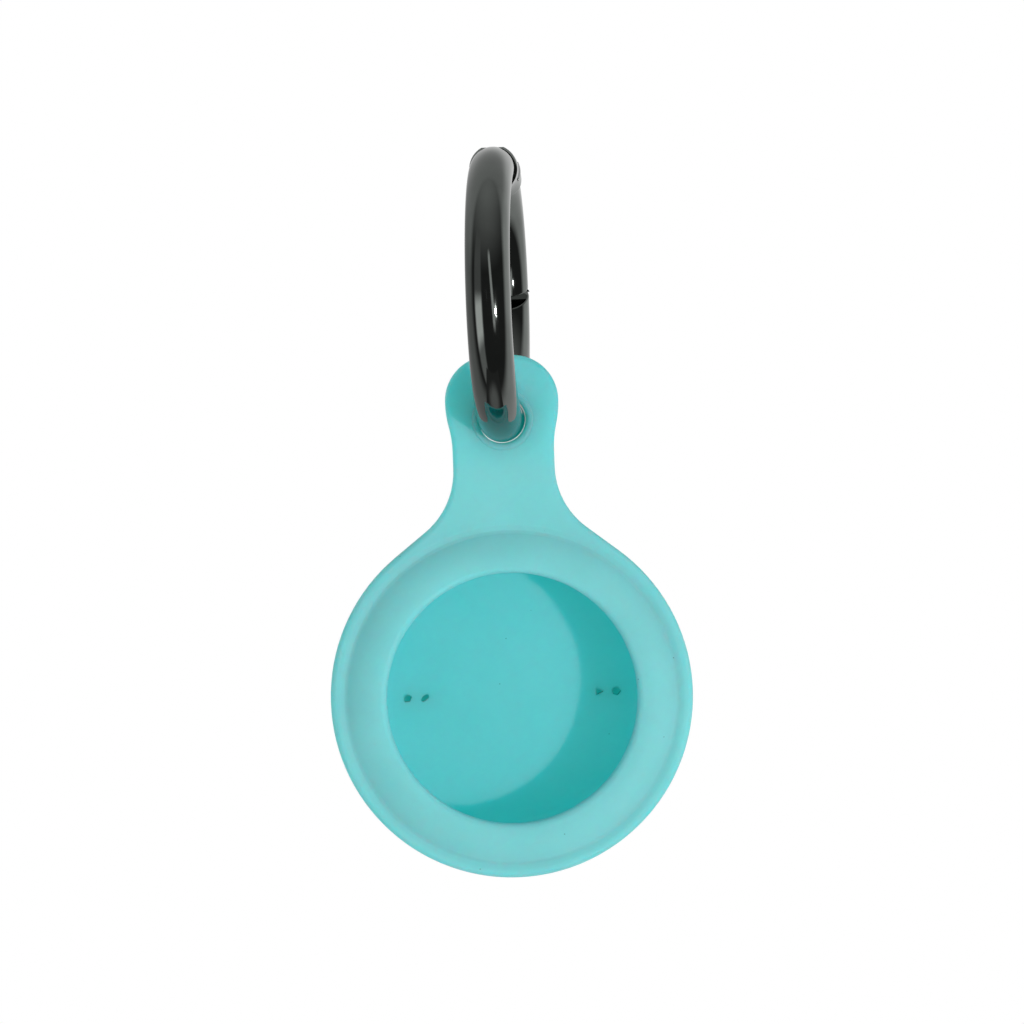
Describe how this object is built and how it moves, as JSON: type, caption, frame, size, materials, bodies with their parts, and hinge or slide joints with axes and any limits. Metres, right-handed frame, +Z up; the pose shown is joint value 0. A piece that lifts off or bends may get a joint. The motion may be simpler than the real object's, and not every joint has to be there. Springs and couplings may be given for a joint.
{
  "type": "tracker tag holder",
  "caption": "Soft silicone pouch for a coin-shaped tracker tag, with a stretch lip round its mouth and a tab hung on a round sprung-gate ring.",
  "frame": {"origin": "centre of the ring's loop, from which the holder hangs", "axes": "+Z up along the hanging holder, -Y out of the pocket's mouth, so that +Y is the outward normal of the back, and +X to the right seen from the front"},
  "size_m": [0.0402, 0.0326, 0.0809],
  "materials": {
    "silicone": "soft satin silicone, turquoise",
    "dark_plating": "glossy dark gunmetal plating",
    "rivet": "glossy dark gunmetal plating",
    "spring_wire": "bright drawn wire"
  },
  "bodies": {
    "ring": {"ring_body": "dark_plating", "hinge_pin": "rivet", "gate_spring": "spring_wire"},
    "gate": {"gate": "dark_plating"},
    "pouch": {"pouch": "silicone"}
  },
  "joints": [
    {"name": "gate_hinge", "type": "hinge", "parent": "ring", "child": "gate", "pos_m": [0.00031, 0.00287, 0.0136], "axis": [-0.9942, 0.108, 0], "range_deg": [0, 30], "stiffness_Nm_per_rad": 0.02, "springref_deg": -20.05, "deforming": ["gate_spring"]},
    {"name": "pouch_swing", "type": "hinge", "parent": "ring", "child": "pouch", "pos_m": [0, 0, -0.0138], "axis": [0, 1, 0], "range_deg": [-133, 133]}
  ]
}
